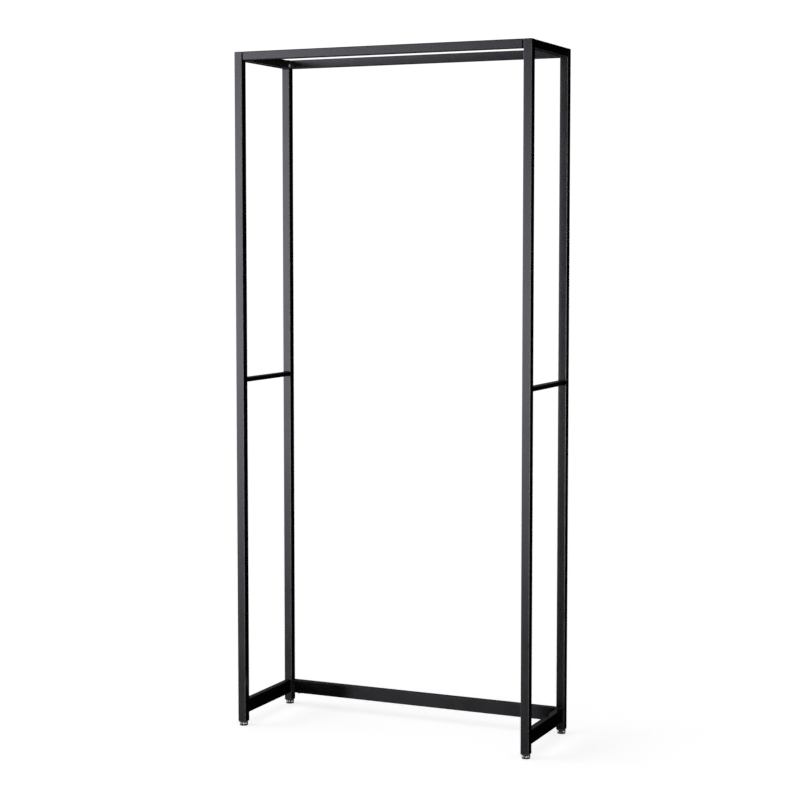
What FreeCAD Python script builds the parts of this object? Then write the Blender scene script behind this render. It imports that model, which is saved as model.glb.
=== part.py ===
import FreeCAD, Part

# Rectangular garment rack of black steel tube, in millimetres.
#
# +Z is up, the front faces -Y, and the origin is on the floor at the middle of the footprint.
# Two welded side frames (posts, top rail, mid bar, bottom rail) are joined by a front and a back
# rail at the top, which are screwed through end plates, and by a back rail near the floor, which
# slides over spigots and is screwed from below. Four screw feet level the rack.

import math
import os

# --- Driving dimensions -----------------------------------------------------------------------
WIDTH = 926.0                 # outside, along X
DEPTH = 324.0                 # outside, along Y
HEIGHT = 2000.0               # floor to top, with the feet screwed home

POST = 25.0                   # square post and top rail, outside
POST_WALL = 1.6
POST_CORNER = 2.0             # outside corner radius of the square tube
POST_BOTTOM = 15.0            # height of the lower end of the post tube
CAP_THICK = 2.0               # welded plate that closes a post
CAP_EDGE = 1.2                # rounding of its upper edge

MID_BAR_HEIGHT = 12.5
MID_BAR_WALL = 1.2
MID_BAR_CORNER = 1.5
MID_BAR_Z = 1038.0            # middle of the bar

LOW_RAIL_WIDTH = 20.0         # rectangular tube of the bottom rails
LOW_RAIL_HEIGHT = 40.0
LOW_RAIL_CORNER = 2.0
LOW_RAIL_Z = 56.5             # middle of the rail
LOW_RAIL_END_GAP = 0.5        # between the back rail's end and the post

PLATE_THICK = 4.0             # end plate of a top front or back rail
PLATE_TAB = 15.0              # how far the plate reaches past its rail
PLATE_SETBACK = 9.0           # from the rail's outer face to the plate's edge
PLATE_SCREW_REACH = 6.5       # from the rail's inner face to the screw
PLATE_SCREW_DROP = 4.0        # from the middle of the rail down to the screw

SCREW_R = 2.95                # M6 shank
SCREW_HOLE_R = 3.3
SCREW_LENGTH = 14.0
SCREW_CHAMFER = 0.6
HEAD_R = 5.25                 # domed socket head
HEAD_HEIGHT = 3.3
HEAD_RIM = 0.6                # straight rim under the dome
HEAD_FLAT_R = 2.6
DOME_STEPS = 6
SOCKET_AF = 4.0
SOCKET_DEPTH = 1.8
WELD_NUT_AF = 10.0
WELD_NUT_THICK = 5.0
NUT_BORE_R = 3.0

SPIGOT_LENGTH = 40.0
SPIGOT_WALL = 2.0
SPIGOT_CORNER = 1.0
SPIGOT_PLAY = 0.4             # width play inside the rail, both sides together
SPIGOT_SCREW_REACH = 20.0     # from the post's face to the screw

PLUG_BOTTOM = 10.0            # lower face of the foot plug
PLUG_RIM = 1.0                # straight rim under the tube, above the taper
PLUG_TAPER = 2.5              # how far the taper comes in on each side
PLUG_TOP = 42.0
PLUG_PLAY = 0.4
PLUG_CORNER = 1.2
PLUG_BORE_R = 4.3
NUT_SEAT_Z = 17.0
FOOT_NUT_AF = 13.0
FOOT_NUT_THICK = 6.5
FOOT_NUT_BORE_R = 4.0         # M8
POCKET_PLAY = 0.2

STUD_R = 3.9
STUD_TOP = 40.0
STUD_TOP_CHAMFER = 0.8
RIVET_R = 6.0
RIVET_BOTTOM = 6.3
RIVET_TOP = 7.2

CUP_R = 12.5
CUP_BOTTOM = 5.5
CUP_TOP = 9.6
CUP_EDGE = 1.2
CUP_RECESS_R = 10.0
CUP_BORE_R = 3.95
FLATS_AF = 23.0               # two wrench flats on the cup
FLATS_Z = 6.6

PAD_R = 12.2
PAD_TOP = 5.4
PAD_BOSS_R = 9.7
PAD_BOSS_TOP = 6.2
PAD_CHAMFER = 0.8

# --- Places that follow from them --------------------------------------------------------------
POST_X = (WIDTH - POST) / 2
POST_Y = (DEPTH - POST) / 2
INNER_X = WIDTH / 2 - POST    # the posts' inner faces
INNER_Y = DEPTH / 2 - POST    # the posts' faces towards each other
TOP_RAIL_Z = HEIGHT - POST / 2
TOP_SCREW_Z = TOP_RAIL_Z - PLATE_SCREW_DROP
SIDES = {"left": -1, "right": 1}
ENDS = {"front": -1, "back": 1}
CORNERS = [(end, side) for end in ENDS for side in SIDES]

X_AXIS = FreeCAD.Vector(1, 0, 0)
Y_AXIS = FreeCAD.Vector(0, 1, 0)
Z_AXIS = FreeCAD.Vector(0, 0, 1)
# For each tube direction: the two directions of its section, then its own.
DIRECTIONS = {
    "x": (Y_AXIS, Z_AXIS, X_AXIS),
    "y": (X_AXIS, Z_AXIS, Y_AXIS),
    "z": (X_AXIS, Y_AXIS, Z_AXIS),
}


# --- Shapes ------------------------------------------------------------------------------------
def rounded_wire(direction, centre, size, radius, start):
    """Closed outline of a rounded rectangle, square to the direction, at the place start."""
    across, upward, along = DIRECTIONS[direction]

    def point(u, v):
        return across * (centre[0] + u) + upward * (centre[1] + v) + along * start

    straight_u = size[0] / 2 - radius
    straight_v = size[1] / 2 - radius
    middle = radius * math.sqrt(0.5)
    edges = []
    previous = None
    first = None
    for su, sv, u_first in ((1, 1, True), (-1, 1, False), (-1, -1, True), (1, -1, False)):
        on_u = point(su * (straight_u + radius), sv * straight_v)
        on_v = point(su * straight_u, sv * (straight_v + radius))
        bend = point(su * (straight_u + middle), sv * (straight_v + middle))
        begin, end = (on_u, on_v) if u_first else (on_v, on_u)
        if previous is None:
            first = begin
        else:
            edges.append(Part.LineSegment(previous, begin).toShape())
        edges.append(Part.Arc(begin, bend, end).toShape())
        previous = end
    edges.append(Part.LineSegment(previous, first).toShape())
    return Part.Wire(edges)


def rounded_bar(direction, centre, size, radius, span):
    """Solid bar of rounded rectangular section from span[0] to span[1]."""
    outline = rounded_wire(direction, centre, size, radius, span[0])
    return Part.Face(outline).extrude(DIRECTIONS[direction][2] * (span[1] - span[0]))


def tube(direction, centre, size, radius, wall, span):
    """Hollow bar of rounded rectangular section."""
    inner_size = (size[0] - 2 * wall, size[1] - 2 * wall)
    inner_radius = max(radius - wall, 0.3)
    outer = rounded_bar(direction, centre, size, radius, span)
    return outer.cut(rounded_bar(direction, centre, inner_size, inner_radius, span))


def cylinder(radius, base, direction, length):
    return Part.makeCylinder(radius, length, FreeCAD.Vector(*base), direction)


def hexagon(across_flats, base, direction, length):
    """Hexagonal prism that stands on base and points along direction."""
    corner_r = across_flats / math.sqrt(3)
    corners = []
    for step in range(7):
        angle = math.radians(60 * step)
        corners.append(FreeCAD.Vector(corner_r * math.cos(angle), corner_r * math.sin(angle), 0))
    prism = Part.Face(Part.makePolygon(corners)).extrude(FreeCAD.Vector(0, 0, length))
    turn = FreeCAD.Rotation(Z_AXIS, direction)
    prism.Placement = FreeCAD.Placement(FreeCAD.Vector(*base), turn)
    return prism


def turned(outline):
    """Solid of revolution about Z from (radius, height) points."""
    points = [FreeCAD.Vector(r, 0, z) for r, z in outline]
    points.append(points[0])
    return Part.Face(Part.makePolygon(points)).revolve(FreeCAD.Vector(0, 0, 0), Z_AXIS, 360)


def socket_screw(base, direction):
    """Screw whose domed socket head sits on base; direction points from the head to the tip."""
    outline = [(0, -HEAD_HEIGHT), (HEAD_FLAT_R, -HEAD_HEIGHT)]
    for step in range(1, DOME_STEPS + 1):
        angle = math.radians(90 * step / DOME_STEPS)
        radius = HEAD_FLAT_R + (HEAD_R - HEAD_FLAT_R) * math.sin(angle)
        outline.append((radius, -HEAD_RIM - (HEAD_HEIGHT - HEAD_RIM) * math.cos(angle)))
    outline += [(HEAD_R, 0), (SCREW_R, 0), (SCREW_R, SCREW_LENGTH - SCREW_CHAMFER)]
    outline += [(SCREW_R - SCREW_CHAMFER, SCREW_LENGTH), (0, SCREW_LENGTH)]
    socket = hexagon(SOCKET_AF, (0, 0, -HEAD_HEIGHT - 1), Z_AXIS, SOCKET_DEPTH + 1)
    screw = turned(outline).cut(socket)
    turn = FreeCAD.Rotation(Z_AXIS, direction)
    screw.Placement = FreeCAD.Placement(FreeCAD.Vector(*base), turn)
    return screw


def weld_nut(base, direction):
    nut = hexagon(WELD_NUT_AF, base, direction, WELD_NUT_THICK)
    return nut.cut(cylinder(NUT_BORE_R, base, direction, WELD_NUT_THICK))


def write(node, *solids):
    """One STEP file for one node: a single solid, or a group of separate ones."""
    for solid in solids:
        assert solid.isValid() and solid.Volume > 0, node
    shape = solids[0] if len(solids) == 1 else Part.makeCompound(list(solids))
    shape.exportStep(f"parts/{node}.step")


# --- Side frames -------------------------------------------------------------------------------
def build_posts():
    for end, side in CORNERS:
        centre = (SIDES[side] * POST_X, ENDS[end] * POST_Y)
        span = (POST_BOTTOM, HEIGHT - CAP_THICK)
        write(f"post_{end}_{side}", tube("z", centre, (POST, POST), POST_CORNER, POST_WALL, span))
        cap_span = (HEIGHT - CAP_THICK, HEIGHT)
        cap = rounded_bar("z", centre, (POST, POST), POST_CORNER, cap_span)
        upper = [edge for edge in cap.Edges if edge.BoundBox.ZMin > HEIGHT - 0.01]
        write(f"post_cap_{end}_{side}", cap.makeFillet(CAP_EDGE, upper))


def build_side_rails():
    span = (-INNER_Y, INNER_Y)
    screw_y = INNER_Y - PLATE_SCREW_REACH
    for side, sign in SIDES.items():
        rail = tube("y", (sign * POST_X, TOP_RAIL_Z), (POST, POST), POST_CORNER, POST_WALL, span)
        for y in (-screw_y, screw_y):
            start = (sign * (INNER_X - 1), y, TOP_SCREW_Z)
            rail = rail.cut(cylinder(SCREW_HOLE_R, start, X_AXIS * sign, POST_WALL + 2))
        write(f"top_side_rail_{side}", rail)

        mid_size = (POST, MID_BAR_HEIGHT)
        mid_centre = (sign * POST_X, MID_BAR_Z)
        write(f"mid_bar_{side}", tube("y", mid_centre, mid_size, MID_BAR_CORNER, MID_BAR_WALL, span))

        low_size = (LOW_RAIL_WIDTH, LOW_RAIL_HEIGHT)
        low_centre = (sign * POST_X, LOW_RAIL_Z)
        low_rail = tube("y", low_centre, low_size, LOW_RAIL_CORNER, POST_WALL, span)
        write(f"bottom_side_rail_{side}", low_rail)


# --- Top front and back rails with their end plates --------------------------------------------
def build_top_rails():
    rail_end = INNER_X - PLATE_THICK
    screw_y = INNER_Y - PLATE_SCREW_REACH
    plate_length = POST + PLATE_TAB - PLATE_SETBACK
    plate_y = DEPTH / 2 - PLATE_SETBACK - plate_length / 2
    screws = []
    nuts = []
    for end, y_sign in ENDS.items():
        centre = (y_sign * POST_Y, TOP_RAIL_Z)
        rail_span = (-rail_end, rail_end)
        rail = tube("x", centre, (POST, POST), POST_CORNER, POST_WALL, rail_span)
        write(f"top_{end}_rail", rail)
        for side, x_sign in SIDES.items():
            plate_centre = (y_sign * plate_y, TOP_RAIL_Z)
            plate_span = tuple(sorted((x_sign * rail_end, x_sign * INNER_X)))
            plate_size = (plate_length, POST)
            plate = rounded_bar("x", plate_centre, plate_size, POST_CORNER, plate_span)
            outward = X_AXIS * x_sign
            hole_start = (x_sign * (rail_end - 1), y_sign * screw_y, TOP_SCREW_Z)
            plate = plate.cut(cylinder(SCREW_HOLE_R, hole_start, outward, PLATE_THICK + 2))
            write(f"top_{end}_rail_plate_{side}", plate)

            head_base = (x_sign * rail_end, y_sign * screw_y, TOP_SCREW_Z)
            screws.append(socket_screw(head_base, outward))
            nut_base = (x_sign * (INNER_X + POST_WALL), y_sign * screw_y, TOP_SCREW_Z)
            nuts.append(weld_nut(nut_base, outward))
    write("top_rail_screws", *screws)
    write("top_rail_weld_nuts", *nuts)


# --- Bottom back rail on its spigots -----------------------------------------------------------
def build_bottom_back_rail():
    rail_end = INNER_X - LOW_RAIL_END_GAP
    rail_centre = (POST_Y, LOW_RAIL_Z)
    rail_size = (LOW_RAIL_WIDTH, LOW_RAIL_HEIGHT)
    rail_span = (-rail_end, rail_end)
    rail = tube("x", rail_centre, rail_size, LOW_RAIL_CORNER, POST_WALL, rail_span)

    rail_bottom = LOW_RAIL_Z - LOW_RAIL_HEIGHT / 2
    spigot_bottom = rail_bottom + POST_WALL
    spigot_width = LOW_RAIL_WIDTH - 2 * POST_WALL - SPIGOT_PLAY
    spigot_height = LOW_RAIL_HEIGHT - 2 * POST_WALL - SPIGOT_PLAY
    spigot_centre = (POST_Y, spigot_bottom + spigot_height / 2)
    screws = []
    nuts = []
    for side, sign in SIDES.items():
        screw_x = sign * (INNER_X - SPIGOT_SCREW_REACH)
        drill_start = (screw_x, POST_Y, rail_bottom - 1)
        drill = cylinder(SCREW_HOLE_R, drill_start, Z_AXIS, POST_WALL + SPIGOT_WALL + 2)
        rail = rail.cut(drill)
        spigot_span = tuple(sorted((sign * INNER_X, sign * (INNER_X - SPIGOT_LENGTH))))
        spigot = tube("x", spigot_centre, (spigot_width, spigot_height), SPIGOT_CORNER,
                      SPIGOT_WALL, spigot_span)
        write(f"bottom_back_spigot_{side}", spigot.cut(drill))
        head_base = (screw_x, POST_Y, rail_bottom)
        screws.append(socket_screw(head_base, Z_AXIS))
        nuts.append(weld_nut((screw_x, POST_Y, spigot_bottom + SPIGOT_WALL), Z_AXIS))
    write("bottom_back_rail", rail)
    write("bottom_rail_screws", *screws)
    write("bottom_rail_weld_nuts", *nuts)


# --- Screw feet --------------------------------------------------------------------------------
def foot_plug():
    """Tapered plastic plug for the post's end, with a pocket for the nut, about its own axis."""
    rim_bottom = POST_BOTTOM - PLUG_RIM
    narrow = POST - 2 * PLUG_TAPER
    middle = (0, 0)
    lower = rounded_wire("z", middle, (narrow, narrow), POST_CORNER, PLUG_BOTTOM)
    upper = rounded_wire("z", middle, (POST, POST), POST_CORNER, rim_bottom)
    taper = Part.makeLoft([lower, upper], True, True)
    rim = rounded_bar("z", middle, (POST, POST), POST_CORNER, (rim_bottom, POST_BOTTOM))
    insert_width = POST - 2 * POST_WALL - PLUG_PLAY
    insert_size = (insert_width, insert_width)
    insert = rounded_bar("z", middle, insert_size, PLUG_CORNER, (POST_BOTTOM, PLUG_TOP))
    plug = taper.fuse(rim).fuse(insert).removeSplitter()
    bore_start = (0, 0, PLUG_BOTTOM - 1)
    plug = plug.cut(cylinder(PLUG_BORE_R, bore_start, Z_AXIS, NUT_SEAT_Z - PLUG_BOTTOM + 2))
    pocket_depth = PLUG_TOP - NUT_SEAT_Z + 1
    return plug.cut(hexagon(FOOT_NUT_AF + POCKET_PLAY, (0, 0, NUT_SEAT_Z), Z_AXIS, pocket_depth))


def foot_nut():
    base = (0, 0, NUT_SEAT_Z)
    nut = hexagon(FOOT_NUT_AF, base, Z_AXIS, FOOT_NUT_THICK)
    return nut.cut(cylinder(FOOT_NUT_BORE_R, base, Z_AXIS, FOOT_NUT_THICK))


def foot_stud():
    """Threaded stud, drawn without its thread, with the rivet head that holds the cup."""
    outline = [(0, RIVET_BOTTOM), (RIVET_R, RIVET_BOTTOM), (RIVET_R, RIVET_TOP)]
    outline += [(STUD_R, RIVET_TOP), (STUD_R, STUD_TOP - STUD_TOP_CHAMFER)]
    outline += [(STUD_R - STUD_TOP_CHAMFER, STUD_TOP), (0, STUD_TOP)]
    return turned(outline)


def foot_cup():
    """Round metal cup that is turned by hand or by its two flats."""
    outline = [(CUP_BORE_R, CUP_TOP), (CUP_R - CUP_EDGE, CUP_TOP)]
    for step in range(1, 6):
        angle = math.radians(90 * step / 6)
        radius = CUP_R - CUP_EDGE + CUP_EDGE * math.sin(angle)
        outline.append((radius, CUP_TOP - CUP_EDGE + CUP_EDGE * math.cos(angle)))
    outline += [(CUP_R, CUP_TOP - CUP_EDGE), (CUP_R, CUP_BOTTOM), (CUP_RECESS_R, CUP_BOTTOM)]
    outline += [(CUP_RECESS_R, RIVET_TOP), (CUP_BORE_R, RIVET_TOP)]
    cup = turned(outline)
    flat_height = CUP_TOP - FLATS_Z + 1
    for sign in (-1, 1):
        y_start = FLATS_AF / 2 if sign > 0 else -FLATS_AF / 2 - CUP_R
        corner = FreeCAD.Vector(-CUP_R, y_start, FLATS_Z)
        cup = cup.cut(Part.makeBox(2 * CUP_R, CUP_R, flat_height, corner))
    return cup


def foot_pad():
    """Glide pad that stands on the floor and snaps into the cup's recess."""
    outline = [(0, 0), (PAD_R - PAD_CHAMFER, 0), (PAD_R, PAD_CHAMFER), (PAD_R, PAD_TOP)]
    outline += [(PAD_BOSS_R, PAD_TOP), (PAD_BOSS_R, PAD_BOSS_TOP), (0, PAD_BOSS_TOP)]
    return turned(outline)


def build_feet():
    pieces = {
        "foot_plug": foot_plug(),
        "foot_nut": foot_nut(),
        "foot_stud": foot_stud(),
        "foot_cup": foot_cup(),
        "foot_pad": foot_pad(),
    }
    for end, side in CORNERS:
        place = FreeCAD.Vector(SIDES[side] * POST_X, ENDS[end] * POST_Y, 0)
        for name, solid in pieces.items():
            write(f"{name}_{end}_{side}", solid.translated(place))


def main():
    os.makedirs("parts", exist_ok=True)
    build_posts()
    build_side_rails()
    build_top_rails()
    build_bottom_back_rail()
    build_feet()


main()
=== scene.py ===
"""Looks of the black steel garment rack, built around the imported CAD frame. Blender 4.5, metres."""

import math
import random

import bmesh
import bpy
from mathutils import Euler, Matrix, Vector


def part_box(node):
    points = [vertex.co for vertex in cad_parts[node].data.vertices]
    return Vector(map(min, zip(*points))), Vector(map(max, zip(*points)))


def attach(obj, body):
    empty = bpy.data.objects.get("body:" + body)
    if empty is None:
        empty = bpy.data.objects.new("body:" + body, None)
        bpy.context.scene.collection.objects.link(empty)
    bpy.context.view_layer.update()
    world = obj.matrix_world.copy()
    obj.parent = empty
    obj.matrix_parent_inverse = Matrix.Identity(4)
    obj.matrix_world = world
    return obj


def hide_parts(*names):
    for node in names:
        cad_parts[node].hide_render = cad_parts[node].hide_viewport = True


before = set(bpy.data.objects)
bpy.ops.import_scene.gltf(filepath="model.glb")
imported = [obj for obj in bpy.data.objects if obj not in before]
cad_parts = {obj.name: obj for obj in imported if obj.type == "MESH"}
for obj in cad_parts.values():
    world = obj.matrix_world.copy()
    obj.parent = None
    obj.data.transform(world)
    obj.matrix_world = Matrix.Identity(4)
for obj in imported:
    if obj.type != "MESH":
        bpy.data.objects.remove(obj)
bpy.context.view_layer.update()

MM = 0.001
SIDES = {"left": -1, "right": 1}
ENDS = {"front": -1, "back": 1}
CORNERS = [(end, side) for end in ENDS for side in SIDES]

# Weld beads
BEAD_LEG = 2.2 * MM           # width of a side frame's fillet weld on each of its two faces
PLATE_BEAD_LEG = 1.2 * MM     # the same on an end plate, beside its screw
BEAD_MARGIN = 1.5 * MM        # a bead stops this far short of the rail's corner
BEAD_SINK = 0.2 * MM          # how far a bead's back goes into the tubes
RIPPLE_PITCH = 1.5 * MM
RIPPLE_HEIGHT = 0.09          # share of the bead's leg
CRESCENT = 0.35               # how far a ripple trails behind at the bead's middle, in ripples
BEAD_FULLNESS = 0.35          # 0 is a flat fillet, 1 is a quarter round
END_WIDTH = 0.25              # share of the leg at a bead's ends
FULL_WIDTH = 0.95             # and along the rest of it
WANDER = 0.05                 # how much the width wanders along a bead
OUTWARD = 0.7                 # a ripple's share in each of the bead's two directions
RINGS_PER_RIPPLE = 6
BEAD_STEPS = 6
BEAD_SHARP_ANGLE = 60         # degrees
BEAD_SEED = 11

# Foot studs, M8
THREAD_PITCH = 1.25 * MM
THREAD_DEPTH = 0.68 * MM
STUD_R = 3.9 * MM
RIVET_THICK = 0.9 * MM
THREAD_START = 4.4 * MM       # above the rivet head's lower face
THREAD_ROWS = 10              # rows of points in one turn of the thread
STUD_COLUMNS = 28
STUD_CHAMFER = 0.8 * MM
STUD_SHARP_ANGLE = 50         # degrees

RAIL_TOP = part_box("top_front_rail")[1].z
BOTTOM_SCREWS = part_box("bottom_rail_screws")
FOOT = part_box("foot_cup_front_right")

# Camera: the frame is seen from the front, a little to its right
LENS = 85.183
SENSOR = 36.0
SHIFT_UP = -0.03
CAMERA_PLACE = (2.2700, -5.0597, 1.4454)
CAMERA_DIP = 4.048            # degrees below level
CAMERA_TURN = 24.202          # degrees towards the left

# Stage
FLOOR_HALF = 60.0
FLOOR_ALBEDO = 0.8
FLOOR_GLOW = 0.72
BACKDROP = 1.05               # plain white where the camera looks past the floor
COOL = (0.97, 0.95, 1.08)     # tint of the key light, which shows in the gloss of the front faces
# Black cards that paint shade into reflections only: on the back right post, and the floor's contact shadow
# at the back corners.
SHADE_CARDS = (                     # name, left and right edge in plan, bottom, top
    ("card_tall", (0.378, -0.028), (0.410, -0.028), 0.0, RAIL_TOP),
    ("card_low_back_right", (0.319, -0.046), (0.438, 0.074), -0.139, 0.088),
    ("card_low_outside", (0.463, 0.074), (0.611, 0.0185), -0.139, 0.088),
    ("card_low_back_left", (-0.438, 0.120), (-0.306, 0.000), -0.139, 0.0755),
    ("card_low_corner", (-0.438, 0.125), (-0.407, 0.116), -0.139, 0.0735),
)


# --- Camera -------------------------------------------------------------------------------------
def build_camera():
    data = bpy.data.cameras.new("camera")
    data.sensor_width = SENSOR
    data.lens = LENS
    data.shift_y = SHIFT_UP
    data.clip_start = 0.1
    data.clip_end = 200.0
    camera = bpy.data.objects.new("camera", data)
    bpy.context.scene.collection.objects.link(camera)
    camera.location = CAMERA_PLACE
    camera.rotation_euler = Euler((math.radians(90 - CAMERA_DIP), 0.0, math.radians(CAMERA_TURN)), "XYZ")
    bpy.context.scene.camera = camera


build_camera()


# --- Node helpers -------------------------------------------------------------------------------
class Nodes:
    """Short calls for building a node tree."""

    def __init__(self, tree):
        self.tree = tree
        tree.nodes.clear()

    def add(self, kind, **settings):
        node = self.tree.nodes.new(kind)
        for name, value in settings.items():
            setattr(node, name, value)
        return node

    def put(self, target, value):
        if isinstance(value, bpy.types.NodeSocket):
            self.tree.links.new(value, target)
        else:
            target.default_value = value

    def math(self, operation, *values, clamp=False):
        node = self.add("ShaderNodeMath", operation=operation, use_clamp=clamp)
        for socket, value in zip(node.inputs, values):
            self.put(socket, value)
        return node.outputs[0]

    def spread(self, value, low, high, to_low=0.0, to_high=1.0, kind="LINEAR"):
        """Value from low..high brought to to_low..to_high."""
        node = self.add("ShaderNodeMapRange", interpolation_type=kind)
        for name, number in (("Value", value), ("From Min", low), ("From Max", high),
                             ("To Min", to_low), ("To Max", to_high)):
            self.put(node.inputs[name], number)
        return node.outputs["Result"]

    def step(self, value, low, high, to_low=0.0, to_high=1.0):
        return self.spread(value, low, high, to_low, to_high, "SMOOTHSTEP")

    def stretch(self, vector, scale):
        node = self.add("ShaderNodeVectorMath", operation="MULTIPLY")
        self.put(node.inputs[0], vector)
        node.inputs[1].default_value = scale
        return node.outputs["Vector"]

    def split(self, vector):
        node = self.add("ShaderNodeSeparateXYZ")
        self.put(node.inputs[0], vector)
        return node.outputs

    def noise(self, vector, scale, detail=2.0, roughness=0.5):
        node = self.add("ShaderNodeTexNoise")
        self.put(node.inputs["Vector"], vector)
        node.inputs["Scale"].default_value = scale
        node.inputs["Detail"].default_value = detail
        node.inputs["Roughness"].default_value = roughness
        return node.outputs["Fac"]

    def cells(self, vector, scale):
        node = self.add("ShaderNodeTexVoronoi", feature="F1")
        self.put(node.inputs["Vector"], vector)
        node.inputs["Scale"].default_value = scale
        return node.outputs["Distance"]

    def mix(self, factor, low, high):
        node = self.add("ShaderNodeMix", data_type="RGBA")
        self.put(node.inputs["Factor"], factor)
        for socket, value in ((node.inputs[6], low), (node.inputs[7], high)):
            self.put(socket, value)
        return node.outputs[2]

    def bump(self, height, distance, strength=1.0, normal=None):
        node = self.add("ShaderNodeBump")
        self.put(node.inputs["Height"], height)
        node.inputs["Distance"].default_value = distance
        node.inputs["Strength"].default_value = strength
        if normal is not None:
            self.put(node.inputs["Normal"], normal)
        return node.outputs["Normal"]

    def position(self):
        return self.add("ShaderNodeTexCoord").outputs["Object"]

    def distance(self, first, first_at, second, second_at):
        """Distance from an axis that stands at +-first_at and +-second_at."""
        across = self.math("SUBTRACT", self.math("ABSOLUTE", first), first_at)
        upward = self.math("SUBTRACT", self.math("ABSOLUTE", second), second_at)
        squares = self.math("ADD", self.math("POWER", across, 2.0), self.math("POWER", upward, 2.0))
        return self.math("SQRT", squares)

    def rings(self, radius, width):
        """Fine concentric tool marks, from 0 to 1."""
        wave = self.math("SINE", self.math("MULTIPLY", radius, 2.0 * math.pi / width))
        return self.spread(wave, -1.0, 1.0)


def new_material(name):
    made = bpy.data.materials.new(name)
    made.use_nodes = True
    nodes = Nodes(made.node_tree)
    output = nodes.add("ShaderNodeOutputMaterial")
    shader = nodes.add("ShaderNodeBsdfPrincipled")
    nodes.tree.links.new(shader.outputs[0], output.inputs["Surface"])
    return made, nodes, shader


def grey(value, tint=(1.0, 1.0, 1.0)):
    return (value * tint[0], value * tint[1], value * tint[2], 1.0)


# --- Materials ----------------------------------------------------------------------------------
def powder_coat():
    """Semi-gloss black powder coat: orange peel, fine grit, faint clouds and hanger rub marks."""
    made, nodes, shader = new_material("powder_coat")
    place = nodes.position()
    tint = (0.98, 0.96, 1.07)
    cloud = nodes.noise(place, 9.0, 4.0, 0.55)
    grit = nodes.noise(place, 2600.0, 2.0, 0.6)
    peel = nodes.noise(place, 560.0, 2.0, 0.45)
    colour = nodes.mix(nodes.step(cloud, 0.3, 0.7), grey(0.0032, tint), grey(0.0062, tint))
    speck = nodes.step(nodes.noise(place, 1500.0, 1.0), 0.66, 0.74, 0.0, 0.4)
    colour = nodes.mix(speck, colour, grey(0.024, tint))
    # Hangers slide along the upper faces of the top rails and leave fine lines in the gloss.
    upward = nodes.split(nodes.add("ShaderNodeNewGeometry").outputs["Normal"])[2]
    rubbed = nodes.math("MULTIPLY", nodes.step(upward, 0.6, 0.9),
                        nodes.step(nodes.split(place)[2], RAIL_TOP - 6 * MM, RAIL_TOP - 2 * MM))
    lines = nodes.noise(nodes.stretch(place, (6.0, 900.0, 900.0)), 1.0, 2.0, 0.6)
    lines = nodes.math("MULTIPLY", nodes.step(lines, 0.56, 0.70), rubbed)
    colour = nodes.mix(nodes.math("MULTIPLY", lines, 0.35), colour, grey(0.03, tint))
    nodes.put(shader.inputs["Base Color"], colour)
    rough = nodes.spread(cloud, 0.2, 0.8, 0.21, 0.26)
    rough = nodes.math("ADD", rough, nodes.spread(grit, 0.3, 0.7, -0.02, 0.02))
    rough = nodes.math("ADD", rough, nodes.math("MULTIPLY", lines, 0.10))
    nodes.put(shader.inputs["Roughness"], rough)
    shader.inputs["IOR"].default_value = 1.5
    normal = nodes.bump(peel, 0.05 * MM, 0.6)
    normal = nodes.bump(grit, 0.015 * MM, 0.6, normal)
    nodes.put(shader.inputs["Normal"], normal)
    return made


def zinc_plate():
    """Bright zinc: a cool grey metal with soft patches and fine drawing lines."""
    made, nodes, shader = new_material("zinc_plate")
    place = nodes.position()
    patch = nodes.noise(place, 420.0, 3.0, 0.55)
    warm = nodes.noise(place, 150.0, 1.0)
    colour = nodes.mix(nodes.step(patch, 0.3, 0.7), (0.50, 0.52, 0.56, 1.0), (0.70, 0.71, 0.73, 1.0))
    warmth = nodes.step(warm, 0.52, 0.72, 0.0, 0.35)
    colour = nodes.mix(warmth, colour, (0.66, 0.61, 0.50, 1.0))
    nodes.put(shader.inputs["Base Color"], colour)
    shader.inputs["Metallic"].default_value = 1.0
    fine = nodes.noise(nodes.stretch(place, (1.0, 1.0, 5.0)), 1800.0, 2.0, 0.6)
    rough = nodes.math("ADD", nodes.spread(patch, 0.2, 0.8, 0.20, 0.30),
                       nodes.spread(fine, 0.3, 0.7, -0.04, 0.06))
    nodes.put(shader.inputs["Roughness"], rough)
    nodes.put(shader.inputs["Normal"], nodes.bump(fine, 0.012 * MM, 0.5))
    return made


def black_oxide():
    """Blackened steel screws: oily black, brown in patches, with turning marks on the heads."""
    made, nodes, shader = new_material("black_oxide")
    place = nodes.position()
    patch = nodes.noise(place, 380.0, 3.0, 0.6)
    colour = nodes.mix(nodes.step(patch, 0.35, 0.7), (0.012, 0.012, 0.014, 1.0), (0.045, 0.038, 0.034, 1.0))
    nodes.put(shader.inputs["Base Color"], colour)
    shader.inputs["Metallic"].default_value = 0.8
    nodes.put(shader.inputs["Roughness"], nodes.spread(patch, 0.2, 0.8, 0.26, 0.42))
    x, y, _ = nodes.split(place)
    low, high = BOTTOM_SCREWS
    head_r = (high.y - low.y) / 2
    radius = nodes.distance(x, high.x - head_r, y, (low.y + high.y) / 2)
    nodes.put(shader.inputs["Normal"], nodes.bump(nodes.rings(radius, 0.35 * MM), 0.006 * MM, 0.4))
    return made


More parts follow.
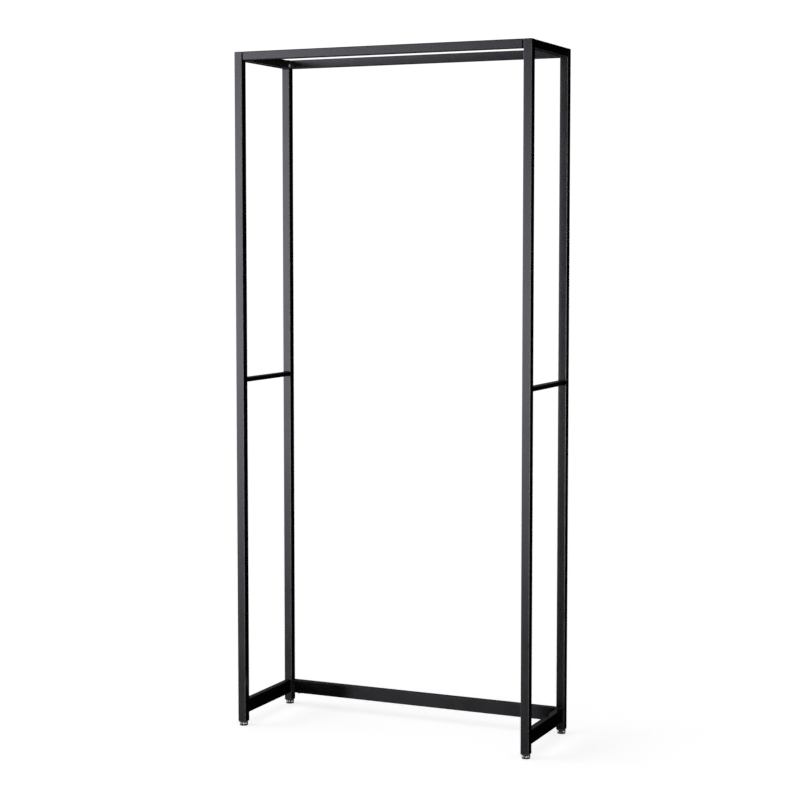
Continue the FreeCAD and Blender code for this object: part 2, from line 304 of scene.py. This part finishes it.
def foot_chrome():
    """Bright plated cup: turned rings, a little haze and small dull spots."""
    made, nodes, shader = new_material("foot_chrome")
    place = nodes.position()
    haze = nodes.noise(place, 260.0, 3.0, 0.6)
    spots = nodes.step(nodes.noise(place, 1400.0, 1.0), 0.66, 0.74)
    colour = nodes.mix(nodes.step(haze, 0.3, 0.7), (0.66, 0.67, 0.69, 1.0), (0.80, 0.80, 0.81, 1.0))
    colour = nodes.mix(nodes.math("MULTIPLY", spots, 0.4), colour, (0.42, 0.41, 0.40, 1.0))
    nodes.put(shader.inputs["Base Color"], colour)
    shader.inputs["Metallic"].default_value = 1.0
    rough = nodes.math("ADD", nodes.spread(haze, 0.2, 0.8, 0.13, 0.22), nodes.math("MULTIPLY", spots, 0.15))
    nodes.put(shader.inputs["Roughness"], rough)
    x, y, z = nodes.split(place)
    low, high = FOOT
    radius = nodes.distance(x, (low.x + high.x) / 2, y, (low.y + high.y) / 2)
    turned = nodes.rings(nodes.math("ADD", radius, z), 0.4 * MM)
    nodes.put(shader.inputs["Normal"], nodes.bump(turned, 0.004 * MM, 0.3))
    return made


def black_plastic():
    """Moulded black nylon plug: fine spark-eroded texture and slight flow clouds."""
    made, nodes, shader = new_material("black_plastic")
    place = nodes.position()
    flow = nodes.noise(nodes.stretch(place, (1.0, 1.0, 0.35)), 120.0, 3.0, 0.55)
    colour = nodes.mix(nodes.step(flow, 0.3, 0.7), grey(0.0065), grey(0.0125))
    nodes.put(shader.inputs["Base Color"], colour)
    nodes.put(shader.inputs["Roughness"], nodes.spread(flow, 0.2, 0.8, 0.42, 0.54))
    shader.inputs["IOR"].default_value = 1.53
    pits = nodes.bump(nodes.cells(place, 2200.0), 0.03 * MM, 0.5)
    nodes.put(shader.inputs["Normal"], nodes.bump(nodes.noise(place, 900.0, 3.0, 0.6), 0.03 * MM, 0.5, pits))
    return made


def glide_pad():
    """Matt black nylon glide, scuffed grey towards its lower edge."""
    made, nodes, shader = new_material("glide_pad")
    place = nodes.position()
    _, _, z = nodes.split(place)
    grain = nodes.noise(place, 700.0, 3.0, 0.6)
    scuffs = nodes.noise(nodes.stretch(place, (1.0, 1.0, 6.0)), 420.0, 2.0, 0.6)
    worn = nodes.math("MULTIPLY", nodes.step(scuffs, 0.50, 0.66), nodes.step(z, 0.4 * MM, 2.6 * MM, 1.0, 0.0))
    colour = nodes.mix(grain, grey(0.006), grey(0.012))
    colour = nodes.mix(nodes.math("MULTIPLY", worn, 0.5), colour, grey(0.05))
    nodes.put(shader.inputs["Base Color"], colour)
    nodes.put(shader.inputs["Roughness"], nodes.spread(grain, 0.2, 0.8, 0.60, 0.78))
    nodes.put(shader.inputs["Normal"], nodes.bump(grain, 0.05 * MM, 0.6))
    return made


SLOT_MATERIALS = {
    "black_coat": powder_coat(),
    "zinc_steel": zinc_plate(),
    "black_oxide": black_oxide(),
    "foot_chrome": foot_chrome(),
    "black_plastic": black_plastic(),
    "glide_pad": glide_pad(),
}


def finish_nodes():
    """Each CAD node's material is named after its slot, and is changed for the one made above."""
    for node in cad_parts.values():
        for holder in node.material_slots:
            holder.material = SLOT_MATERIALS[holder.material.name.split(".")[0]]


# --- New pieces ---------------------------------------------------------------------------------
def add_piece(name, shape, body, slot, sharp_angle):
    mesh = bpy.data.meshes.new(name)
    bmesh.ops.recalc_face_normals(shape, faces=shape.faces)
    for face in shape.faces:
        face.smooth = True
    shape.to_mesh(mesh)
    shape.free()
    mesh.set_sharp_from_angle(angle=math.radians(sharp_angle))
    mesh.materials.append(SLOT_MATERIALS[slot])
    piece = bpy.data.objects.new(name, mesh)
    bpy.context.scene.collection.objects.link(piece)
    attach(piece, body)
    return piece


def bead_ring(shape, place, on_rail, on_wall, leg, phase):
    """One cross-section of a fillet weld. place is the corner that it fills."""
    points = [place - (on_rail + on_wall) * BEAD_SINK, place + on_rail * leg - on_wall * BEAD_SINK]
    for step in range(BEAD_STEPS + 1):
        angle = math.pi / 2 * step / BEAD_STEPS
        crescent = CRESCENT * math.sin(2 * angle)
        ripple = RIPPLE_HEIGHT * math.sin(2 * angle) * math.cos(2 * math.pi * (phase - crescent))
        flat_v = step / BEAD_STEPS
        flat_u = 1 - flat_v
        reach_u = flat_u + BEAD_FULLNESS * (math.cos(angle) - flat_u) + ripple * OUTWARD
        reach_v = flat_v + BEAD_FULLNESS * (math.sin(angle) - flat_v) + ripple * OUTWARD
        points.append(place + on_rail * leg * reach_u + on_wall * leg * reach_v)
    points.append(place + on_wall * leg - on_rail * BEAD_SINK)
    return [shape.verts.new(point) for point in points]


def add_bead(shape, start, end, on_rail, on_wall, leg, chance):
    """Rippled fillet weld from start to end along the corner between a rail and a wall."""
    length = (end - start).length
    ripples = max(4, round(length / RIPPLE_PITCH))
    rings = ripples * RINGS_PER_RIPPLE
    leg = leg * chance.uniform(0.92, 1.0)
    shift = chance.random()
    drift = chance.uniform(0.6, 1.4)
    previous = None
    for index in range(rings + 1):
        along = index / rings
        round_end = math.sqrt(max(0.0, 1 - abs(2 * along - 1) ** 12))
        width = END_WIDTH + (FULL_WIDTH - END_WIDTH) * round_end
        width *= 1 + WANDER * math.sin(2 * math.pi * drift * along + 6 * shift)
        place = start.lerp(end, along)
        ring = bead_ring(shape, place, on_rail, on_wall, leg * width, ripples * along + shift)
        if previous is None:
            shape.faces.new(ring)
        else:
            for first in range(len(ring)):
                second = (first + 1) % len(ring)
                shape.faces.new((previous[first], previous[second], ring[second], ring[first]))
        previous = ring
    shape.faces.new(previous)


def side_frame_beads(side, chance):
    """The welds between a side frame's posts and its three rails, on the sides that stand back."""
    shape = bmesh.new()
    for rail, faces in (("top_side_rail", "b"), ("mid_bar", "tb"), ("bottom_side_rail", "tblr")):
        low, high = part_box(f"{rail}_{side}")
        left = low.x + BEAD_MARGIN
        right = high.x - BEAD_MARGIN
        bottom = low.z + BEAD_MARGIN
        top = high.z - BEAD_MARGIN
        for y, inward in ((low.y, 1), (high.y, -1)):
            on_rail = Vector((0, inward, 0))
            lines = {
                "t": ((left, y, high.z), (right, y, high.z), (0, 0, 1)),
                "b": ((left, y, low.z), (right, y, low.z), (0, 0, -1)),
                "l": ((low.x, y, bottom), (low.x, y, top), (-1, 0, 0)),
                "r": ((high.x, y, bottom), (high.x, y, top), (1, 0, 0)),
            }
            for face in faces:
                start, end, on_wall = (Vector(part) for part in lines[face])
                add_bead(shape, start, end, on_rail, on_wall, BEAD_LEG, chance)
    add_piece(f"weld_beads_{side}", shape, "frame", "black_coat", BEAD_SHARP_ANGLE)


def end_plate_beads(end, chance):
    """The weld on the inner side of each end plate of a top rail, beside its screw."""
    shape = bmesh.new()
    low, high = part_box(f"top_{end}_rail")
    y = high.y if end == "front" else low.y
    on_wall = Vector((0, -ENDS[end], 0))
    for x, inward in ((low.x, 1), (high.x, -1)):
        start = Vector((x, y, low.z + BEAD_MARGIN))
        finish = Vector((x, y, high.z - BEAD_MARGIN))
        add_bead(shape, start, finish, Vector((inward, 0, 0)), on_wall, PLATE_BEAD_LEG, chance)
    add_piece(f"weld_beads_top_{end}_rail", shape, "frame", "black_coat", BEAD_SHARP_ANGLE)


def thread_cut(height, turn):
    """Depth of the thread's groove, 0 on the crest and 1 at the root, on a right-hand thread."""
    phase = (height / THREAD_PITCH - turn) % 1.0
    slope = 1 - abs(2 * phase - 1)
    return min(1.0, max(0.0, 1.4 * slope - 0.15))


def threaded_stud(end, side):
    """Levelling stud with its thread cut, on the rivet head that holds the cup."""
    name = f"foot_stud_{end}_{side}"
    low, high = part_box(name)
    centre = (low + high) / 2
    rivet_r = (high.x - low.x) / 2
    rivet_top = low.z + RIVET_THICK
    thread_low = low.z + THREAD_START
    thread_high = high.z - STUD_CHAMFER
    # Each row is a radius, a height and how deep the thread is there.
    rows = [(rivet_r, low.z, 0.0), (rivet_r, rivet_top, 0.0), (STUD_R, rivet_top, 0.0),
            (STUD_R, thread_low, 0.0)]
    count = round((thread_high - thread_low) / THREAD_PITCH * THREAD_ROWS)
    for index in range(1, count + 1):
        height = thread_low + (thread_high - thread_low) * index / count
        run_in = min(1.0, (height - thread_low) / THREAD_PITCH)
        rows.append((STUD_R, height, run_in))
    rows.append((STUD_R - STUD_CHAMFER, high.z, 0.0))
    shape = bmesh.new()
    previous = None
    for radius, height, depth in rows:
        ring = []
        for column in range(STUD_COLUMNS):
            turn = column / STUD_COLUMNS
            r = radius - THREAD_DEPTH * depth * thread_cut(height, turn)
            angle = 2 * math.pi * turn
            point = (centre.x + r * math.cos(angle), centre.y + r * math.sin(angle), height)
            ring.append(shape.verts.new(point))
        if previous is None:
            shape.faces.new(ring)
        else:
            for first in range(STUD_COLUMNS):
                second = (first + 1) % STUD_COLUMNS
                shape.faces.new((previous[first], previous[second], ring[second], ring[first]))
        previous = ring
    shape.faces.new(previous)
    body = f"foot_screw_{end}_{side}"
    piece = add_piece(f"threaded_stud_{end}_{side}", shape, body, "zinc_steel", STUD_SHARP_ANGLE)
    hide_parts(name)


def build_pieces():
    chance = random.Random(BEAD_SEED)
    for side in SIDES:
        side_frame_beads(side, chance)
    for end in ENDS:
        end_plate_beads(end, chance)
    for end, side in CORNERS:
        threaded_stud(end, side)


# --- Stage --------------------------------------------------------------------------------------
def build_floor():
    """Pale floor that runs out of sight. It glows a little, so that it stays pale under soft light."""
    mesh = bpy.data.meshes.new("floor")
    shape = bmesh.new()
    bmesh.ops.create_grid(shape, x_segments=4, y_segments=4, size=FLOOR_HALF)
    shape.to_mesh(mesh)
    shape.free()
    floor = bpy.data.objects.new("floor", mesh)
    bpy.context.scene.collection.objects.link(floor)
    made, _, shader = new_material("floor")
    shader.inputs["Base Color"].default_value = grey(FLOOR_ALBEDO)
    shader.inputs["Roughness"].default_value = 0.9
    shader.inputs["Specular IOR Level"].default_value = 0.0
    shader.inputs["Emission Color"].default_value = grey(1.0)
    shader.inputs["Emission Strength"].default_value = FLOOR_GLOW
    mesh.materials.append(made)
    floor.visible_glossy = False
    floor.visible_diffuse = False


def build_shade_cards():
    """Black cards that only reflections see, painting shade into them. A tall one paints shade on the back
    right post, and low ones paint the floor's contact shadow at the back corners. Reflections don't see the
    floor, so they reach below it."""
    made, _, shader = new_material("painted_shade_card")
    shader.inputs["Base Color"].default_value = grey(0.0)
    shader.inputs["Specular IOR Level"].default_value = 0.0
    for name, left, right, bottom, top in SHADE_CARDS:
        mesh = bpy.data.meshes.new(name)
        corners = [(*left, bottom), (*right, bottom), (*right, top), (*left, top)]
        mesh.from_pydata(corners, [], [(0, 1, 2, 3)])
        mesh.materials.append(made)
        card = bpy.data.objects.new(name, mesh)
        bpy.context.scene.collection.objects.link(card)
        card.visible_camera = False
        card.visible_shadow = False
        card.visible_diffuse = False


class Sky:
    """Soft boxes of light by direction: azimuth 0 is in front of the rack and grows towards +X."""

    def __init__(self, nodes):
        self.nodes = nodes
        x, y, z = nodes.split(nodes.add("ShaderNodeTexCoord").outputs["Generated"])
        self.azimuth = nodes.math("ARCTAN2", x, nodes.math("MULTIPLY", y, -1.0))
        self.height = nodes.math("ARCSINE", z)
        self.total = None

    def edge(self, value, at, soft, rising=True):
        low, high = (0.0, 1.0) if rising else (1.0, 0.0)
        return self.nodes.step(value, math.radians(at - soft), math.radians(at + soft), low, high)

    def box(self, azimuths, heights, soft, radiance, lean=0.0, slope=0.0, tint=(1.0, 1.0, 1.0)):
        """One soft box. lean moves its right edge left by that many degrees for each degree of height.
        slope lowers its upper edge by that many degrees for each degree of azimuth."""
        nodes = self.nodes
        leaning = nodes.math("ADD", self.azimuth, nodes.math("MULTIPLY", self.height, lean))
        sloping = nodes.math("ADD", self.height, nodes.math("MULTIPLY", self.azimuth, slope))
        across = nodes.math("MULTIPLY", self.edge(self.azimuth, azimuths[0], soft[0]),
                            self.edge(leaning, azimuths[1], soft[0], False))
        upward = nodes.math("MULTIPLY", self.edge(self.height, heights[0], soft[1]),
                            self.edge(sloping, heights[1], soft[1], False))
        light = nodes.mix(nodes.math("MULTIPLY", across, upward), grey(0.0), grey(radiance, tint))
        if self.total is None:
            self.total = light
            return
        adder = nodes.add("ShaderNodeVectorMath", operation="ADD")
        nodes.put(adder.inputs[0], self.total)
        nodes.put(adder.inputs[1], light)
        self.total = adder.outputs["Vector"]


def build_world():
    world = bpy.data.worlds.new("studio")
    bpy.context.scene.world = world
    world.use_nodes = True
    nodes = Nodes(world.node_tree)
    output = nodes.add("ShaderNodeOutputWorld")
    sky = Sky(nodes)
    # The key light stands in front on the left. Its upper edge slopes down towards the right.
    sky.box((-80, -16), (-7.5, -6.8), (7, 3), 4.8, lean=1.2, slope=0.5, tint=COOL)
    sky.box((0, 48), (-10, 9), (3, 4), 15.0, slope=0.4)    # rim light, in front on the right
    sky.box((-80, 60), (-24, -10), (6, 3), 0.06)           # pale floor in front, far away
    sky.box((-80, 60), (-78, -26), (6, 4), 0.60)           # and near by
    sky.box((-80, -46), (-28, -9), (5, 4), 0.7)            # pale floor, in front on the left
    sky.box((58, 100), (-40, 30), (6, 6), 0.5)             # right side
    sky.box((-130, -84), (-40, 30), (6, 6), 1.0)           # left side
    sky.box((-185, -130), (-60, -22), (5, 4), 0.55)        # pale floor behind, left
    sky.box((-175, -130), (2, 24), (5, 4), 0.10)           # wall behind, left
    sky.box((90, 182), (-75, -34), (6, 6), 0.6)            # pale floor behind, right
    sky.box((94, 126), (-34, 12), (5, 5), 0.45)            # wall behind, right
    sky.box((162, 182), (-36, -22), (2, 4), 0.6)           # pale floor right behind, far away
    sky.box((-181, 181), (58, 91), (1, 8), 0.8)            # ceiling
    soft = nodes.add("ShaderNodeBackground")
    nodes.put(soft.inputs["Color"], sky.total)
    white = nodes.add("ShaderNodeBackground")
    white.inputs["Color"].default_value = grey(1.0)
    white.inputs["Strength"].default_value = BACKDROP
    pick = nodes.add("ShaderNodeMixShader")
    nodes.put(pick.inputs[0], nodes.add("ShaderNodeLightPath").outputs["Is Camera Ray"])
    nodes.put(pick.inputs[1], soft.outputs[0])
    nodes.put(pick.inputs[2], white.outputs[0])
    nodes.put(output.inputs["Surface"], pick.outputs[0])


finish_nodes()
build_pieces()
build_floor()
build_shade_cards()
build_world()
bpy.context.scene.view_settings.view_transform = "Standard"
